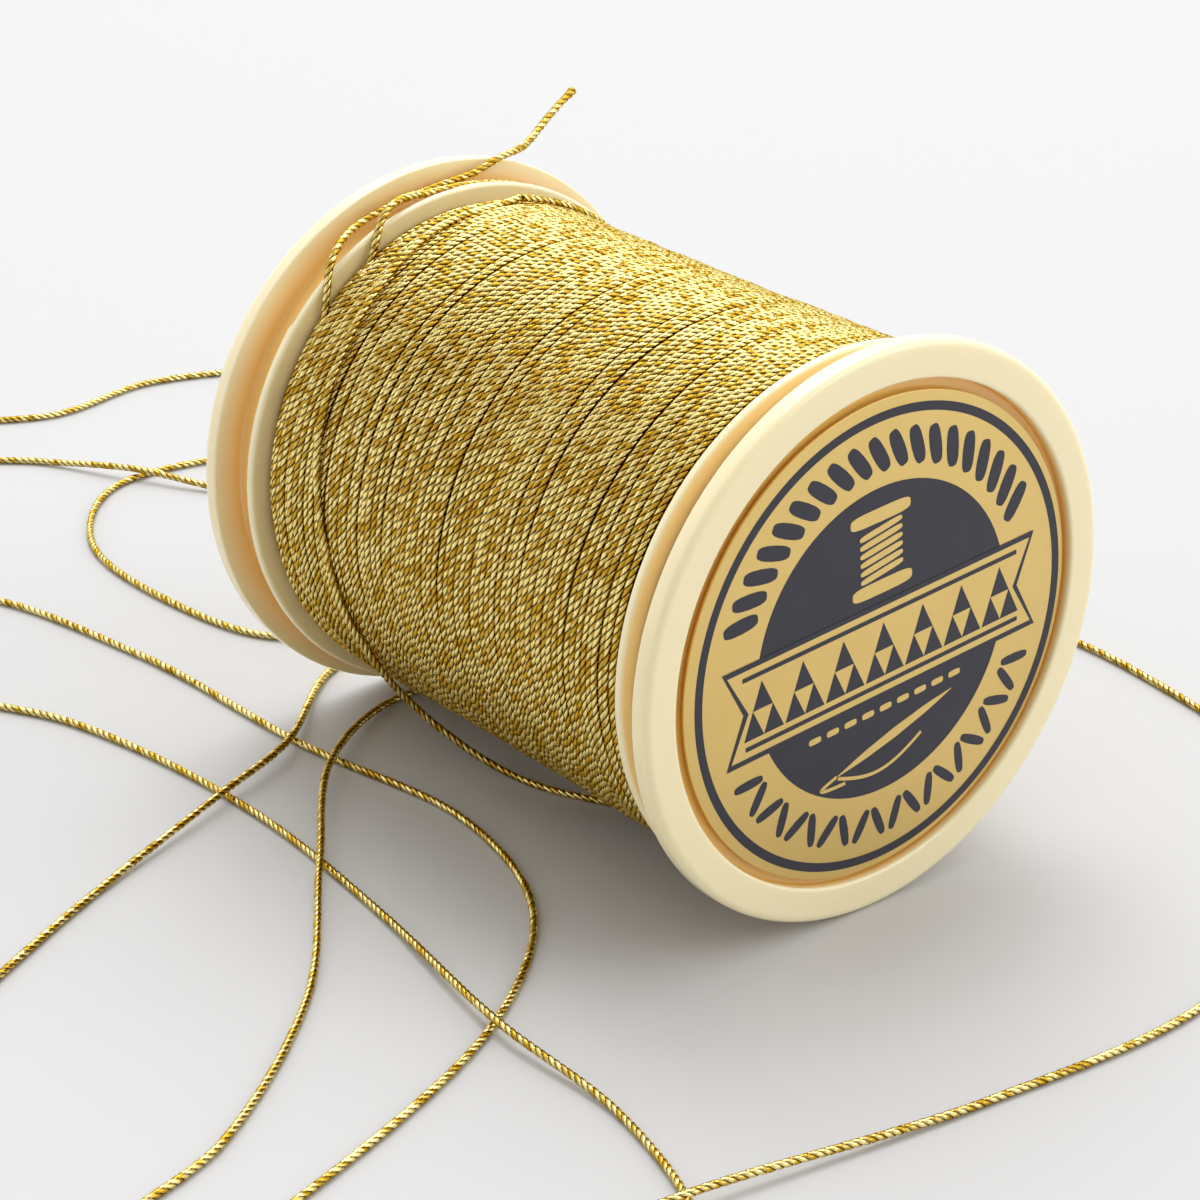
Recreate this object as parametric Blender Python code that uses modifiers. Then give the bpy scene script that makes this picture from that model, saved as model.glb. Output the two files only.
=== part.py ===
"""A small flanged spool of metallic thread, lying on its side with its thread run out on the table.

The spool's axis runs along Y at AXIS_HEIGHT above the table, with the front label towards -Y. The
barrel carries a thin lip at each end; a cap is pressed into each end of the barrel, and the slot
between a cap's rim and the lip behind it is the groove that holds the thread's end.
"""

import math

import bmesh
import bpy
import numpy as np
from mathutils import Vector

MM = 0.001

# Overall sizes.
SPOOL_LENGTH = 38.8 * MM
FLANGE_RADIUS = 16.0 * MM
ROUND_STEPS = 48

# Clearances: between pressed or resting plastic pieces, round the winding, and round a thread.
JOINT_GAP = 0.3 * MM
LABEL_GAP = 0.25 * MM
THREAD_GAP = 0.3 * MM

# Caps: rim, label recess, groove bottom, spigot that plugs the barrel, and guide for the spool pin.
RIM_THICKNESS = 1.15 * MM
RIM_ROUNDING = 1.05 * MM
RIM_EDGE = 0.1 * MM
RECESS_RADIUS = 13.95 * MM
RECESS_DEPTH = 0.75 * MM
RECESS_FILLET = 0.2 * MM
WEB_THICKNESS = 1.05 * MM
GROOVE_RADIUS = 14.2 * MM
GROOVE_WIDTH = 1.8 * MM
GROOVE_WALL = 1.2 * MM
SPIGOT_DEPTH = 4.0 * MM
SPIGOT_WALL = 1.1 * MM
PIN_HOLE_RADIUS = 3.5 * MM
PIN_GUIDE_WALL = 1.2 * MM
PIN_GUIDE_DEPTH = 6.0 * MM

# Barrel: tube and the two thin lips, with the flat where the thread enters the rear groove.
CORE_RADIUS = 10.5 * MM
CORE_WALL = 1.2 * MM
LIP_RADIUS = 15.1 * MM
LIP_THICKNESS = 0.6 * MM
LIP_EDGE = 0.15 * MM
ENTRY_ANGLE = math.radians(116.0)
ENTRY_HALF_WIDTH = math.radians(26.0)
ENTRY_DEPTH = 0.25 * MM

# Labels: paper discs glued a little off centre in the recesses.
LABEL_RADIUS = 13.4 * MM
LABEL_THICKNESS = 0.15 * MM
LABEL_SHIFT = (0.2 * MM, -0.2 * MM)

# Thread and winding. Each fullness is (share of the half width from the middle towards the rear,
# how far the winding stands below the lip there).
THREAD_DIAMETER = 0.45 * MM
WINDING_FULLNESS = (
    (1.0, 1.80 * MM),
    (0.95, 1.25 * MM),
    (0.83, 1.0 * MM),
    (0.5, 0.95 * MM),
    (0.0, 0.85 * MM),
    (-0.5, 0.75 * MM),
    (-0.86, 0.65 * MM),
    (-0.96, 0.8 * MM),
    (-1.0, 1.2 * MM),
)

# What follows from the sizes above, measured along the axis from the spool's middle.
HALF_LENGTH = SPOOL_LENGTH / 2
RIM_BACK = HALF_LENGTH - RIM_THICKNESS
LIP_FACE = RIM_BACK - GROOVE_WIDTH
LIP_BACK = LIP_FACE - LIP_THICKNESS
RECESS_FLOOR = HALF_LENGTH - RECESS_DEPTH
WEB_BACK = RECESS_FLOOR - WEB_THICKNESS
THREAD_RADIUS = THREAD_DIAMETER / 2
# One flat of the faceted rim lies on the table.
AXIS_HEIGHT = FLANGE_RADIUS * math.cos(math.pi / ROUND_STEPS)
# A thread's centre line this far above the table just clears it.
LYING = THREAD_RADIUS + 0.025 * MM

# The loose thread, in two lengths that meet end to end behind the spool. Route points are in
# millimetres: across, along the axis towards the rear, and up. LY is the height of a centre line
# that lies on the table, and OV is that of one that passes over another thread.
LY = LYING / MM
OV = LY + THREAD_DIAMETER / MM + 0.1
LOOSE_ROUTE_FIRST = (
    # From the top of the winding, down its side and on to the table.
    (2.65, 13.85, 30.46),
    (-4.5, 13.1, 30.05),
    (-10.4, 12.0, 26.4),
    (-14.0, 10.8, 20.5),
    (-14.3, 9.1, 12.7),
    (-12.4, 8.5, 8.1),
    (-9.0, 8.1, 3.4),
    (-6.4, 5.3, 0.6),
    (-5.0, 0.6, LY),
    # Back under the spool, between its flanges.
    (-1.2, -4.6, LY),
    (5.5, -4.2, LY),
    (10.0, 3.0, LY),
    (11.2, 13.0, LY),
    (9.0, 22.5, LY),
    (1.5, 25.2, LY),
    # The round loop behind the spool.
    (-5.9, 27.6, LY),
    (-8.3, 36.5, LY),
    (-7.3, 46.9, LY),
    (-1.0, 53.9, LY),
    (7.5, 53.2, LY),
    (11.8, 49.8, LY),
    (9.5, 45.9, LY),
    (5.2, 47.6, LY),
    # Over itself, round the far turn and back past the spool.
    (0.8, 54.6, OV),
    (-2.6, 60.6, LY),
    (-7.8, 66.2, LY),
    (-5.6, 70.8, LY),
    (2.7, 67.5, LY),
    (11.3, 68.4, LY),
    (20.5, 63.5, LY),
    (25.8, 51.0, LY),
    (30.0, 32.0, LY),
    (31.2, 4.6, LY),
)
LOOSE_ROUTE_SECOND = (
    (31.2, 4.3, LY),
    (31.5, -9.0, LY),
    (27.5, -25.0, LY),
    (17.5, -34.2, LY),
    (5.0, -37.6, LY),
    (-9.5, -36.6, LY),
    # Over the next run, and round a small loop into it.
    (-26.1, -33.8, OV),
    (-31.8, -33.0, LY),
    (-34.2, -36.6, LY),
    (-30.6, -39.2, LY),
    (-26.6, -36.0, LY),
    (-23.3, -26.5, LY),
    (-23.2, -16.6, OV),
    (-20.8, -3.0, LY),
    (-19.8, 11.0, LY),
    (-21.8, 25.6, LY),
    # The wide turn at the far left.
    (-27.2, 37.5, LY),
    (-24.0, 46.6, LY),
    (-17.8, 45.0, LY),
    (-13.9, 31.0, LY),
    (-13.0, 15.0, LY),
    (-11.2, 2.0, LY),
    (-14.3, -8.2, LY),
    (-23.0, -16.0, LY),
    (-38.5, -21.9, LY),
    # The hairpin at the near left.
    (-47.5, -23.6, LY),
    (-48.2, -19.4, LY),
    (-39.5, -16.1, LY),
    (-28.7, -7.9, LY),
    (-20.9, 2.0, OV),
    (-13.3, 11.5, OV),
    # Under the rear flange, out behind it and back.
    (-5.5, 16.1, LY),
    (3.0, 15.6, LY),
    (6.8, 18.9, LY),
    (3.0, 22.5, LY),
    (-5.5, 22.0, LY),
    (-14.2, 14.8, OV),
    (-20.7, 12.0, OV),
    (-31.3, 8.0, LY),
    (-45.0, 1.2, LY),
)

# The two threads locked in the rear groove. Each point is (distance from the axis, degrees from +X
# towards +Z, distance from the middle): over the winding's shoulder, over the lip, round the groove.
ON_SHOULDER = LIP_RADIUS - 0.95 * MM
BESIDE_LIP = LIP_RADIUS - 0.35 * MM
OVER_LIP = LIP_RADIUS + THREAD_RADIUS + THREAD_GAP + 0.1 * MM
LIP_EASE = OVER_LIP - 0.25 * MM
IN_GROOVE = GROOVE_RADIUS + THREAD_RADIUS + THREAD_GAP + 0.075 * MM
OVER_RIM = FLANGE_RADIUS + THREAD_RADIUS + THREAD_GAP + 0.05 * MM
NEAR_LANE = LIP_FACE + THREAD_RADIUS + THREAD_GAP
FAR_LANE = RIM_BACK - THREAD_RADIUS - THREAD_GAP
CAUGHT_TAIL_ROUTE = (
    (ON_SHOULDER + 0.05 * MM, 150.5, LIP_BACK - 1.2 * MM),
    (ON_SHOULDER, 141.0, LIP_BACK - 0.95 * MM),
    (ON_SHOULDER, 136.0, LIP_BACK - 0.6 * MM),
    (BESIDE_LIP, 131.5, LIP_BACK - 0.35 * MM),
    (LIP_EASE, 127.0, LIP_BACK - 0.05 * MM),
    (OVER_LIP, 123.0, LIP_BACK + 0.35 * MM),
    (LIP_EASE, 118.5, LIP_FACE + 0.45 * MM),
    (IN_GROOVE + 0.2 * MM, 112.0, FAR_LANE - 0.1 * MM),
    (IN_GROOVE, 102.0, FAR_LANE),
    (IN_GROOVE + 0.05 * MM, 90.0, FAR_LANE),
    (IN_GROOVE + 0.45 * MM, 81.0, FAR_LANE),
    (OVER_RIM - 0.45 * MM, 74.5, FAR_LANE + 0.12 * MM),
    (OVER_RIM, 69.5, FAR_LANE + 0.55 * MM),
    (OVER_RIM + 0.35 * MM, 65.3, HALF_LENGTH - 0.35 * MM),
    (OVER_RIM + 0.95 * MM, 62.0, HALF_LENGTH + 0.35 * MM),
    (OVER_RIM + 1.85 * MM, 59.2, HALF_LENGTH + 0.95 * MM),
    (OVER_RIM + 3.1 * MM, 56.4, HALF_LENGTH + 1.5 * MM),
    (OVER_RIM + 4.7 * MM, 53.2, HALF_LENGTH + 2.1 * MM),
)
CAUGHT_START_ROUTE = (
    (ON_SHOULDER, 124.0, LIP_BACK - 0.95 * MM),
    (ON_SHOULDER, 119.5, LIP_BACK - 0.6 * MM),
    (BESIDE_LIP, 115.5, LIP_BACK - 0.35 * MM),
    (LIP_EASE, 111.5, LIP_BACK - 0.05 * MM),
    (OVER_LIP, 107.5, LIP_BACK + 0.3 * MM),
    (LIP_EASE, 103.0, LIP_FACE + 0.15 * MM),
    (IN_GROOVE + 0.15 * MM, 96.0, NEAR_LANE),
    (IN_GROOVE, 84.0, NEAR_LANE),
    (IN_GROOVE, 66.0, NEAR_LANE),
    (IN_GROOVE, 48.0, NEAR_LANE),
    (IN_GROOVE, 30.0, NEAR_LANE),
    (IN_GROOVE, 12.0, NEAR_LANE),
    (IN_GROOVE, -6.0, NEAR_LANE),
    (IN_GROOVE, -20.0, NEAR_LANE),
    (IN_GROOVE, -30.0, NEAR_LANE),
)

# Colours: linear RGB.
IVORY = (0.93, 0.83, 0.62)
LABEL_GOLD = (0.62, 0.45, 0.18)
THREAD_GOLD = (0.58, 0.42, 0.12)


def clear_scene():
    for thing in list(bpy.data.objects):
        bpy.data.objects.remove(thing, do_unlink=True)


def collection(name, hidden=False):
    made = bpy.data.collections.new(name)
    made.hide_render = hidden
    bpy.context.scene.collection.children.link(made)
    return made


def material(name, colour, roughness, metallic=0.0):
    made = bpy.data.materials.new(name)
    made.use_nodes = True
    shader = made.node_tree.nodes["Principled BSDF"]
    shader.inputs["Base Color"].default_value = (*colour, 1.0)
    shader.inputs["Roughness"].default_value = roughness
    shader.inputs["Metallic"].default_value = metallic
    return made


def place(thing, home, finish, parent=None):
    """Puts an object in its collection, with its material, under its parent."""
    home.objects.link(thing)
    thing.data.materials.append(finish)
    thing.parent = parent
    return thing


def arc(centre_r, centre_z, radius, start, end, steps):
    """Points of a round corner in a profile, as (radius, height), angles in degrees."""
    for k in range(steps + 1):
        a = math.radians(start + (end - start) * k / steps)
        yield (centre_r + radius * math.cos(a), centre_z + radius * math.sin(a))


def turned(name, profile, home, finish, axis, towards_rear):
    """A closed profile of (radius, height) points turned about the spool's axis.

    The profile's plane is half a step round, so that a flat of the turned shape lies downwards.
    """
    half_step = math.pi / ROUND_STEPS
    mesh = bpy.data.meshes.new(name)
    points = [(r * math.cos(half_step), r * math.sin(half_step), z) for r, z in profile]
    count = len(points)
    mesh.from_pydata(points, [(k, (k + 1) % count) for k in range(count)], [])
    piece = place(bpy.data.objects.new(name, mesh), home, finish, axis)
    piece.rotation_euler = ((-1 if towards_rear else 1) * math.pi / 2, 0.0, 0.0)
    screw = piece.modifiers.new("turn", "SCREW")
    screw.axis = "Z"
    screw.angle = 2 * math.pi
    screw.steps = ROUND_STEPS
    screw.render_steps = ROUND_STEPS
    screw.use_merge_vertices = True
    screw.merge_threshold = 0.00001
    screw.use_smooth_shade = True
    return piece


def barrel_profile():
    """Tube with a thin lip at each end, open right through."""
    edge = LIP_EDGE
    half = [
        (CORE_RADIUS - CORE_WALL, LIP_FACE),
        (LIP_RADIUS - edge, LIP_FACE),
        (LIP_RADIUS, LIP_FACE - edge),
        (LIP_RADIUS, LIP_BACK + edge),
        (LIP_RADIUS - edge, LIP_BACK),
        (CORE_RADIUS, LIP_BACK),
    ]
    return half + [(r, -z) for r, z in reversed(half)]


def cap_profile():
    """Rim with its label recess, groove bottom, spigot and pin guide; height runs outwards."""
    spigot_out = CORE_RADIUS - CORE_WALL - JOINT_GAP
    spigot_end = LIP_FACE - SPIGOT_DEPTH
    guide_out = PIN_HOLE_RADIUS + PIN_GUIDE_WALL
    guide_end = WEB_BACK - PIN_GUIDE_DEPTH
    wall_end = LIP_FACE + JOINT_GAP
    round_r = FLANGE_RADIUS - RIM_ROUNDING
    round_z = HALF_LENGTH - RIM_ROUNDING
    fillet = RECESS_FILLET
    return [
        (PIN_HOLE_RADIUS, RECESS_FLOOR),
        (RECESS_RADIUS - fillet, RECESS_FLOOR),
        (RECESS_RADIUS, RECESS_FLOOR + fillet),
        (RECESS_RADIUS, HALF_LENGTH - fillet),
        (RECESS_RADIUS + fillet, HALF_LENGTH),
        *arc(round_r, round_z, RIM_ROUNDING, 90, 0, 4),
        (FLANGE_RADIUS - RIM_EDGE, RIM_BACK),
        (GROOVE_RADIUS, RIM_BACK),
        (GROOVE_RADIUS, wall_end),
        (GROOVE_RADIUS - GROOVE_WALL, wall_end),
        (GROOVE_RADIUS - GROOVE_WALL, WEB_BACK),
        (spigot_out, WEB_BACK),
        (spigot_out, spigot_end),
        (spigot_out - SPIGOT_WALL, spigot_end),
        (spigot_out - SPIGOT_WALL, WEB_BACK),
        (guide_out, WEB_BACK),
        (guide_out, guide_end),
        (PIN_HOLE_RADIUS, guide_end),
    ]


def winding_profile():
    """The wound thread as one body, fuller towards the front lip."""
    half_width = LIP_BACK - THREAD_GAP
    inner = CORE_RADIUS + THREAD_GAP
    outside = [(LIP_RADIUS - low, share * half_width) for share, low in WINDING_FULLNESS]
    return [(inner, half_width), *outside, (inner, -half_width)]


def label_disc(name, home, finish, axis, towards_rear):
    """A thin disc above the recess floor, its centre a little off the spool's axis."""
    mesh = bpy.data.meshes.new(name)
    shape = bmesh.new()
    bmesh.ops.create_cone(
        shape,
        cap_ends=True,
        segments=ROUND_STEPS,
        radius1=LABEL_RADIUS,
        radius2=LABEL_RADIUS,
        depth=LABEL_THICKNESS,
    )
    shape.to_mesh(mesh)
    shape.free()
    disc = place(bpy.data.objects.new(name, mesh), home, finish, axis)
    side = 1 if towards_rear else -1
    middle = RECESS_FLOOR + LABEL_GAP + LABEL_THICKNESS / 2
    disc.location = (LABEL_SHIFT[0], side * middle, LABEL_SHIFT[1])
    disc.rotation_euler = (-side * math.pi / 2, 0.0, 0.0)
    return disc


def entry_cutter(home, axis):
    """A block that takes a shaving off the groove side of the rear lip, along one chord."""
    inner = LIP_RADIUS * math.cos(ENTRY_HALF_WIDTH)
    outer = LIP_RADIUS + JOINT_GAP
    width = 2 * LIP_RADIUS
    low = LIP_FACE - ENTRY_DEPTH
    high = RIM_BACK - JOINT_GAP
    mesh = bpy.data.meshes.new("entry_cutter")
    shape = bmesh.new()
    bmesh.ops.create_cube(shape, size=1.0)
    bmesh.ops.scale(shape, vec=(outer - inner, high - low, width), verts=shape.verts)
    shape.to_mesh(mesh)
    shape.free()
    cutter = bpy.data.objects.new("entry_cutter", mesh)
    home.objects.link(cutter)
    cutter.parent = axis
    reach = (inner + outer) / 2
    cutter.location = (
        reach * math.cos(ENTRY_ANGLE),
        (low + high) / 2,
        reach * math.sin(ENTRY_ANGLE),
    )
    cutter.rotation_euler = (0.0, -ENTRY_ANGLE, 0.0)
    cutter.hide_render = True
    cutter.display_type = "WIRE"
    return cutter


def through(route, steps):
    """A smooth line through the route's points, with steps pieces from each point to the next.

    This is the centripetal Catmull-Rom curve, kept from dipping into the table.
    """
    known = np.array(route, dtype=float)
    known = np.vstack([2 * known[0] - known[1], known, 2 * known[-1] - known[-2]])
    leg = np.diff(known, axis=0)
    pace = np.sqrt(np.linalg.norm(leg, axis=1))[:, None]
    slope = leg / pace
    across = (leg[:-1] + leg[1:]) / (pace[:-1] + pace[1:])
    heading = slope[:-1] + slope[1:] - across
    line = []
    for k in range(len(route) - 1):
        begin, end = known[k + 1], known[k + 2]
        leave, arrive = heading[k] * pace[k + 1], heading[k + 1] * pace[k + 1]
        for s in np.linspace(0.0, 1.0, steps, endpoint=False):
            ease = s * s * (3 - 2 * s)
            bow = s * (1 - s) * ((1 - s) * leave - s * arrive)
            line.append((1 - ease) * begin + ease * end + bow)
    line.append(known[-2])
    line = np.array(line)
    line[:, 2] = np.maximum(line[:, 2], LYING)
    return line


def tube(name, line, home, finish):
    """A thread as a round tube with closed ends along a line of points."""
    curve = bpy.data.curves.new(name, "CURVE")
    curve.dimensions = "3D"
    curve.bevel_depth = THREAD_RADIUS
    curve.bevel_resolution = 2
    curve.use_fill_caps = True
    spline = curve.splines.new("POLY")
    spline.points.add(len(line) - 1)
    for point, place_at in zip(spline.points, line):
        point.co = (*place_at, 1.0)
    return place(bpy.data.objects.new(name, curve), home, finish)


def on_table(route):
    """Route points in metres."""
    return [Vector(point) * MM for point in route]


def round_axis(route):
    """Route points given round the spool's axis, as points of space."""
    return [
        (r * math.cos(math.radians(turn)), along, AXIS_HEIGHT + r * math.sin(math.radians(turn)))
        for r, turn, along in route
    ]


def build():
    clear_scene()
    home = collection("thread_spool")
    cutters = collection("thread_spool_cutters", hidden=True)
    ivory = material("ivory_plastic", IVORY, 0.25)
    gold_paper = material("gold_label_paper", LABEL_GOLD, 0.35, 0.6)
    wound = material("wound_metallic_thread", THREAD_GOLD, 0.4, 0.8)
    loose = material("loose_metallic_thread", THREAD_GOLD, 0.35, 0.8)

    axis = bpy.data.objects.new("spool_axis", None)
    axis.location = (0.0, 0.0, AXIS_HEIGHT)
    home.objects.link(axis)

    barrel = turned("spool_barrel", barrel_profile(), home, ivory, axis, True)
    entry = barrel.modifiers.new("thread_entry", "BOOLEAN")
    entry.operation = "DIFFERENCE"
    entry.object = entry_cutter(cutters, axis)
    turned("front_cap", cap_profile(), home, ivory, axis, False)
    turned("rear_cap", cap_profile(), home, ivory, axis, True)
    turned("thread_winding", winding_profile(), home, wound, axis, True)
    label_disc("front_label", home, gold_paper, axis, False)
    label_disc("rear_label", home, gold_paper, axis, True)

    tube("loose_thread_first", through(on_table(LOOSE_ROUTE_FIRST), 2), home, loose)
    tube("loose_thread_second", through(on_table(LOOSE_ROUTE_SECOND), 2), home, loose)
    tube("caught_tail", through(round_axis(CAUGHT_TAIL_ROUTE), 2), home, loose)
    tube("caught_start", through(round_axis(CAUGHT_START_ROUTE), 2), home, loose)


build()
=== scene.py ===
# %% [markdown]
# # A spool of gold metallic thread
#
# This lesson dresses a small sewing spool: a moulded ivory spool lying on its side, wound with
# three-ply metallic thread, with a foil label in each end and a long end of thread run out on the
# table. The mechanical model already fixes every size, so the first cell only loads it and keeps
# its outer box. Everything after that is looks.

# %% Load the frame
import math

import bmesh
import bpy
import numpy as np
from mathutils import Matrix, Vector


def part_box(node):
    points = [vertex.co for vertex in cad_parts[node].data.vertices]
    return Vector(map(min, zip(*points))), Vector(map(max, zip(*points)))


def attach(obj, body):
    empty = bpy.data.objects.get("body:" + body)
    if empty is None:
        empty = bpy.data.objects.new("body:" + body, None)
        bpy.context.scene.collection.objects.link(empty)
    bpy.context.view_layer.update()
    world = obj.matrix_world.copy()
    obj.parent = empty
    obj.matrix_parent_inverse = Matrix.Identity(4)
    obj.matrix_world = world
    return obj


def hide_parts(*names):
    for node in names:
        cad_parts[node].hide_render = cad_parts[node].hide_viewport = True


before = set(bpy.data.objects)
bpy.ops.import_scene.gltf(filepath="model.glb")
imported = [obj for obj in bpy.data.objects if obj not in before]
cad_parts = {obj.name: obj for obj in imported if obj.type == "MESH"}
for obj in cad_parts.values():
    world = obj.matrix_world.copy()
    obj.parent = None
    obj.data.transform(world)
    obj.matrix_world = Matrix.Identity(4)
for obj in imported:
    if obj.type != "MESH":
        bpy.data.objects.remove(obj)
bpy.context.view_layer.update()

MM = 0.001
print("parts in the frame:", sorted(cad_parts))

# %% [markdown]
# ## Camera
#
# A spool this small is seen from about twenty centimetres with a long lens, from its front left
# and a little above. A longer lens further off would flatten it, and a short one would swell the
# front flange. The camera is placed by the spot it looks at, two angles and a distance, because
# those are easier to change than three coordinates.

# %% Camera
LOOK_AT = Vector((1.45, 5.25, 8.71)) * MM
LOOK_DISTANCE = 200 * MM
AZIMUTH = math.radians(-39.5)
ELEVATION = math.radians(25.35)
FIELD_OF_VIEW = math.radians(19.584)

backwards = Vector((
    math.sin(AZIMUTH) * math.cos(ELEVATION),
    -math.cos(AZIMUTH) * math.cos(ELEVATION),
    math.sin(ELEVATION),
))
camera = bpy.data.objects.new("camera", bpy.data.cameras.new("camera"))
camera.data.angle = FIELD_OF_VIEW
camera.data.clip_start = 0.01
camera.location = LOOK_AT + backwards * LOOK_DISTANCE
camera.rotation_euler = (-backwards).to_track_quat("-Z", "Y").to_euler()
bpy.context.scene.collection.objects.link(camera)
bpy.context.scene.camera = camera
print("camera at", [round(x, 4) for x in camera.location])

# %% [markdown]
# ## Sizes
#
# The spool's main sizes are read from the parts that they belong to. The parts are turned in 48
# flat steps, so a box across two flats is a little narrower than the true circle, and the rim
# rests on one flat. The finely turned rim built here takes the height of the axis as its radius,
# so that it stands on the table too.

# %% Sizes from the frame
CAD_STEPS = 48
ACROSS_FLATS = math.cos(math.pi / CAD_STEPS)


def true_radius(node):
    low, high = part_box(node)
    return (high.x - low.x) / 2 / ACROSS_FLATS


AXIS_HEIGHT = (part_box("front_cap")[0].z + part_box("front_cap")[1].z) / 2
HALF_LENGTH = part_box("rear_cap")[1].y
FLANGE_RADIUS = true_radius("front_cap")
LIP_RADIUS = true_radius("spool_barrel")
LIP_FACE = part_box("spool_barrel")[1].y
LIP_BACK = LIP_FACE - 0.6 * MM
RIM_BACK = HALF_LENGTH - 1.15 * MM
print(f"flange {2000 * FLANGE_RADIUS:.2f} mm across, spool {2000 * HALF_LENGTH:.2f} mm long")

# %% [markdown]
# ## The loose thread's route
#
# A thread is limp but springy: it falls off the winding, crosses itself in long low humps and lies
# in curves that never kink. It could be simulated, but a simulated thread doesn't lie where it's
# wanted, so its line is chosen point by point. The points are those of the mechanical model: across,
# along the spool's axis towards the rear, and up. The thread is one length on the real spool. Here
# it is two, which meet end to end behind the spool.

# %% Routes on the table
THREAD_DIAMETER = 0.45 * MM
THREAD_RADIUS = THREAD_DIAMETER / 2
LYING = THREAD_RADIUS + 0.025 * MM
LY = LYING / MM
OV = LY + THREAD_DIAMETER / MM + 0.1

FIRST_LENGTH_ROUTE = (
    # From the top of the winding, down its side and on to the table.
    (2.65, 13.85, 30.46),
    (-4.5, 13.1, 30.05),
    (-10.4, 12.0, 26.4),
    (-14.0, 10.8, 20.5),
    (-14.3, 9.1, 12.7),
    (-12.4, 8.5, 8.1),
    (-9.0, 8.1, 3.4),
    (-6.4, 5.3, 0.6),
    (-5.0, 0.6, LY),
    # Back under the spool, between its flanges.
    (-1.2, -4.6, LY),
    (5.5, -4.2, LY),
    (10.0, 3.0, LY),
    (11.2, 13.0, LY),
    (9.0, 22.5, LY),
    (1.5, 25.2, LY),
    # The round loop behind the spool.
    (-5.9, 27.6, LY),
    (-8.3, 36.5, LY),
    (-7.3, 46.9, LY),
    (-1.0, 53.9, LY),
    (7.5, 53.2, LY),
    (11.8, 49.8, LY),
    (9.5, 45.9, LY),
    (5.2, 47.6, LY),
    # Over itself, round the far turn and back past the spool.
    (0.8, 54.6, OV),
    (-2.6, 60.6, LY),
    (-7.8, 66.2, LY),
    (-5.6, 70.8, LY),
    (2.7, 67.5, LY),
    (11.3, 68.4, LY),
    (20.5, 63.5, LY),
    (25.8, 51.0, LY),
    (30.0, 32.0, LY),
    (31.2, 4.6, LY),
)
SECOND_LENGTH_ROUTE = (
    (31.2, 4.3, LY),
    (31.5, -9.0, LY),
    (27.5, -25.0, LY),
    (17.5, -34.2, LY),
    (5.0, -37.6, LY),
    (-9.5, -36.6, LY),
    # Over the next run, and round a small loop into it.
    (-26.1, -33.8, OV),
    (-31.8, -33.0, LY),
    (-34.2, -36.6, LY),
    (-30.6, -39.2, LY),
    (-26.6, -36.0, LY),
    (-23.3, -26.5, LY),
    (-23.2, -16.6, OV),
    (-20.8, -3.0, LY),
    (-19.8, 11.0, LY),
    (-21.8, 25.6, LY),
    # The wide turn at the far left.
    (-27.2, 37.5, LY),
    (-24.0, 46.6, LY),
    (-17.8, 45.0, LY),
    (-13.9, 31.0, LY),
    (-13.0, 15.0, LY),
    (-11.2, 2.0, LY),
    (-14.3, -8.2, LY),
    (-23.0, -16.0, LY),
    (-38.5, -21.9, LY),
    # The hairpin at the near left.
    (-47.5, -23.6, LY),
    (-48.2, -19.4, LY),
    (-39.5, -16.1, LY),
    (-28.7, -7.9, LY),
    (-20.9, 2.0, OV),
    (-13.3, 11.5, OV),
    # Under the rear flange, out behind it and back.
    (-5.5, 16.1, LY),
    (3.0, 15.6, LY),
    (6.8, 18.9, LY),
    (3.0, 22.5, LY),
    (-5.5, 22.0, LY),
    (-14.2, 14.8, OV),
    (-20.7, 12.0, OV),
    (-31.3, 8.0, LY),
    (-45.0, 1.2, LY),
)
print("points:", len(FIRST_LENGTH_ROUTE), "and", len(SECOND_LENGTH_ROUTE))

# %% [markdown]
# The winding's two ends are pulled over the rear lip and locked in the slot between the lip and
# the cap's rim, and one of them springs up behind the flange. Their routes are easier to choose
# round the spool's axis, as a distance from the axis, an angle and a place along it.

# %% Routes in the rear groove
THREAD_GAP = 0.3 * MM
GROOVE_RADIUS = 14.2 * MM
ON_SHOULDER = LIP_RADIUS - 0.95 * MM
BESIDE_LIP = LIP_RADIUS - 0.35 * MM
OVER_LIP = LIP_RADIUS + THREAD_RADIUS + THREAD_GAP + 0.1 * MM
LIP_EASE = OVER_LIP - 0.25 * MM
IN_GROOVE = GROOVE_RADIUS + THREAD_RADIUS + THREAD_GAP + 0.075 * MM
OVER_RIM = FLANGE_RADIUS + THREAD_RADIUS + THREAD_GAP + 0.05 * MM
NEAR_LANE = LIP_FACE + THREAD_RADIUS + THREAD_GAP
FAR_LANE = RIM_BACK - THREAD_RADIUS - THREAD_GAP

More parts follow.
